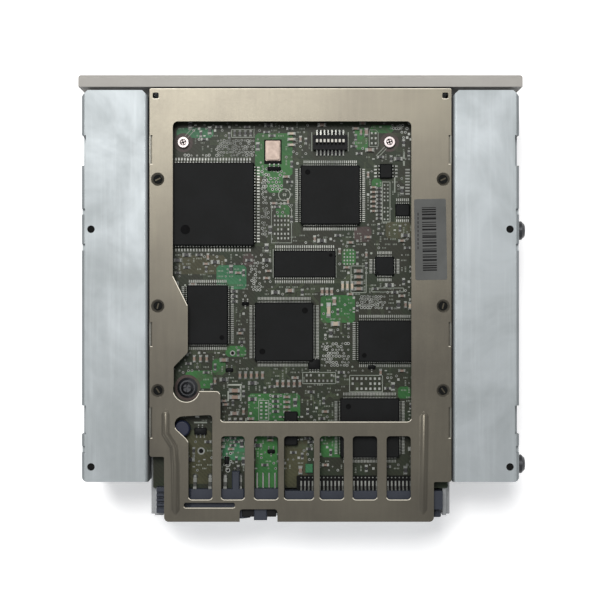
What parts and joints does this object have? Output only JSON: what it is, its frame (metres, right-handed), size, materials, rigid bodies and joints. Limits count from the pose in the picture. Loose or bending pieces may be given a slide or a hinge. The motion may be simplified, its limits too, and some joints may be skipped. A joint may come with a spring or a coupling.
{
  "type": "data tape drive",
  "caption": "Half-height helical-scan data tape drive lying on its top cover, circuit board side up, between folded rail brackets behind a wide bezel with a cassette slot.",
  "frame": {"origin": "middle of the bounding box, on the outer face of the top cover that the drive lies on", "axes": "+Z out of the underside with the circuit board, -Y out of the bezel, +Y out of the rear connectors"},
  "size_m": [0.15, 0.149, 0.042],
  "materials": {
    "bezel_plastic": "moulded, fine matt grain",
    "board_green": "glass laminate under green solder resist",
    "cast_frame": "die cast, matt",
    "chip_black": "moulded epoxy, matt",
    "connector_grey": "moulded, blue grey",
    "cover_steel": "plain zinc coated sheet",
    "crystal_metal": "warm plated can",
    "deck_steel": "plated sheet",
    "door_plastic": "moulded, fine matt grain",
    "drum_alloy": "diamond turned",
    "flex_amber": "amber film",
    "galvanised_steel": "zinc coated sheet, cool silver, lightly rubbed",
    "gear_plastic": "moulded, natural",
    "label_grey": "printed label with plain dark stripes",
    "lens_clear": "clear moulded lens",
    "mechanism_plastic": "moulded",
    "pin_plating": "tin plated",
    "plate_steel": "satin coated sheet, champagne grey",
    "roller_rubber": "ground rubber",
    "screw_black": "black oxide",
    "screw_zinc": "zinc plated",
    "shaft_steel": "ground",
    "slider_white": "moulded",
    "switch_body": "moulded"
  },
  "bodies": {
    "chassis": {"bay_guide_screws": "screw_black", "bezel": "bezel_plastic", "board_screws": "screw_zinc", "bottom_plate": "plate_steel", "capstan_bearing": "shaft_steel", "chassis_screws": "screw_zinc", "codec_chip": "chip_black", "controller_chip": "chip_black", "crystal_can": "crystal_metal", "data_connector": "connector_grey", "deck_plate": "deck_steel", "dip_switch_body": "switch_body", "drum_stator": "board_green", "flex_cable": "flex_amber", "front_board": "board_green", "ground_screw": "screw_black", "interface_chip": "chip_black", "light_pipes": "lens_clear", "loader_rails": "deck_steel", "loading_motor": "deck_steel", "lower_drum": "drum_alloy", "main_board": "board_green", "memory_chip": "chip_black", "option_header": "connector_grey", "power_connector": "connector_grey", "power_pins": "pin_plating", "processor_chip": "chip_black", "rail_bracket_left": "galvanised_steel", "rail_bracket_right": "galvanised_steel", "rear_corner_rib": "connector_grey", "servo_chip": "chip_black", "side_frame_left": "cast_frame", "side_frame_right": "cast_frame", "signal_chip": "chip_black", "small_chips": "chip_black", "stripe_label": "label_grey", "top_cover": "cover_steel"},
    "cassette_door": {"cassette_door": "door_plastic"},
    "eject_button": {"eject_button": "door_plastic"},
    "loader_carriage": {"loader_carriage": "deck_steel"},
    "cassette_holder": {"cassette_holder": "deck_steel"},
    "supply_reel": {"supply_reel_table": "mechanism_plastic"},
    "takeup_reel": {"takeup_reel_table": "mechanism_plastic"},
    "upper_drum": {"upper_drum": "drum_alloy"},
    "capstan": {"capstan": "shaft_steel"},
    "pinch_arm": {"pinch_arm": "deck_steel"},
    "pinch_roller": {"pinch_roller": "roller_rubber"},
    "tension_arm": {"tension_arm": "deck_steel"},
    "guide_left": {"guide_carriage_left": "shaft_steel"},
    "guide_right": {"guide_carriage_right": "shaft_steel"},
    "loading_gear": {"loading_gear": "gear_plastic"},
    "motor_pinion": {"motor_pinion": "gear_plastic"},
    "dip_slider_1": {"dip_slider_1": "slider_white"},
    "dip_slider_2": {"dip_slider_2": "slider_white"},
    "dip_slider_3": {"dip_slider_3": "slider_white"},
    "dip_slider_4": {"dip_slider_4": "slider_white"},
    "dip_slider_5": {"dip_slider_5": "slider_white"},
    "dip_slider_6": {"dip_slider_6": "slider_white"},
    "dip_slider_7": {"dip_slider_7": "slider_white"},
    "dip_slider_8": {"dip_slider_8": "slider_white"}
  },
  "joints": [
    {"name": "door_hinge", "type": "hinge", "parent": "chassis", "child": "cassette_door", "pos_m": [0.00101, -0.072, 0.0039], "axis": [-1, 0, 0], "range_deg": [0, 88], "stiffness_Nm_per_rad": 0.002, "springref_deg": -28.65},
    {"name": "eject_press", "type": "slide", "parent": "chassis", "child": "eject_button", "axis": [0, 1, 0], "range_m": [0, 0.0012], "stiffness_N_per_m": 300, "springref_m": -0.001},
    {"name": "loading_gear_turn", "type": "hinge", "parent": "chassis", "child": "loading_gear", "pos_m": [0.02501, 0.0415, 0.0289], "axis": [0, 0, 1], "range_deg": [0, 180]},
    {"name": "motor_pinion_turn", "type": "hinge", "parent": "chassis", "child": "motor_pinion", "pos_m": [0.03701, 0.0415, 0.0289], "axis": [0, 0, 1], "range_deg": [-720, 0]},
    {"name": "carriage_slide", "type": "slide", "parent": "chassis", "child": "loader_carriage", "axis": [0, 1, 0], "range_m": [0, 0.02]},
    {"name": "holder_lower", "type": "slide", "parent": "loader_carriage", "child": "cassette_holder", "axis": [0, 0, 1], "range_m": [0, 0.007]},
    {"name": "guide_left_slide", "type": "slide", "parent": "chassis", "child": "guide_left", "axis": [-0.2747, 0.9615, 0], "range_m": [0, 0.0364]},
    {"name": "guide_right_slide", "type": "slide", "parent": "chassis", "child": "guide_right", "axis": [0.2747, 0.9615, 0], "range_m": [0, 0.0364]},
    {"name": "pinch_arm_swing", "type": "hinge", "parent": "chassis", "child": "pinch_arm", "pos_m": [-0.03299, 0.0075, 0.0185], "axis": [0, 0, 1], "range_deg": [0, 30]},
    {"name": "pinch_roller_spin", "type": "hinge", "parent": "pinch_arm", "child": "pinch_roller", "pos_m": [-0.03167, -0.00443, 0.0096], "axis": [0, 0, 1], "continuous": true},
    {"name": "tension_arm_swing", "type": "hinge", "parent": "chassis", "child": "tension_arm", "pos_m": [0.03501, 0.0075, 0.0185], "axis": [0, 0, -1], "range_deg": [0, 25], "stiffness_Nm_per_rad": 0.002, "springref_deg": -22.92},
    {"name": "supply_reel_spin", "type": "hinge", "parent": "chassis", "child": "supply_reel", "pos_m": [0.01601, -0.0345, 0.026], "axis": [0, 0, 1], "continuous": true},
    {"name": "takeup_reel_spin", "type": "hinge", "parent": "chassis", "child": "takeup_reel", "pos_m": [-0.01399, -0.0345, 0.026], "axis": [0, 0, 1], "continuous": true},
    {"name": "drum_spin", "type": "hinge", "parent": "chassis", "child": "upper_drum", "pos_m": [0.00101, 0.0215, 0.026], "axis": [0, 0, 1], "continuous": true},
    {"name": "capstan_spin", "type": "hinge", "parent": "chassis", "child": "capstan", "pos_m": [-0.02099, -0.0005, 0.026], "axis": [0, 0, 1], "continuous": true},
    {"name": "dip_slider_1_slide", "type": "slide", "parent": "chassis", "child": "dip_slider_1", "axis": [0, 1, 0], "range_m": [0, 0.001]},
    {"name": "dip_slider_2_slide", "type": "slide", "parent": "chassis", "child": "dip_slider_2", "axis": [0, 1, 0], "range_m": [0, 0.001]},
    {"name": "dip_slider_3_slide", "type": "slide", "parent": "chassis", "child": "dip_slider_3", "axis": [0, 1, 0], "range_m": [0, 0.001]},
    {"name": "dip_slider_4_slide", "type": "slide", "parent": "chassis", "child": "dip_slider_4", "axis": [0, 1, 0], "range_m": [0, 0.001]},
    {"name": "dip_slider_5_slide", "type": "slide", "parent": "chassis", "child": "dip_slider_5", "axis": [0, 1, 0], "range_m": [0, 0.001]},
    {"name": "dip_slider_6_slide", "type": "slide", "parent": "chassis", "child": "dip_slider_6", "axis": [0, 1, 0], "range_m": [0, 0.001]},
    {"name": "dip_slider_7_slide", "type": "slide", "parent": "chassis", "child": "dip_slider_7", "axis": [0, 1, 0], "range_m": [0, 0.001]},
    {"name": "dip_slider_8_slide", "type": "slide", "parent": "chassis", "child": "dip_slider_8", "axis": [0, 1, 0], "range_m": [0, 0.001]}
  ],
  "couplings": [
    {"joint": "loading_gear_turn", "follows": "carriage_slide", "rad_per_m": 157.08},
    {"joint": "motor_pinion_turn", "follows": "carriage_slide", "rad_per_m": -628.32},
    {"joint": "holder_lower", "follows": "carriage_slide", "ratio": 0.35},
    {"joint": "guide_left_slide", "follows": "carriage_slide", "ratio": 1.82},
    {"joint": "guide_right_slide", "follows": "carriage_slide", "ratio": 1.82},
    {"joint": "pinch_arm_swing", "follows": "carriage_slide", "rad_per_m": 26.178}
  ]
}
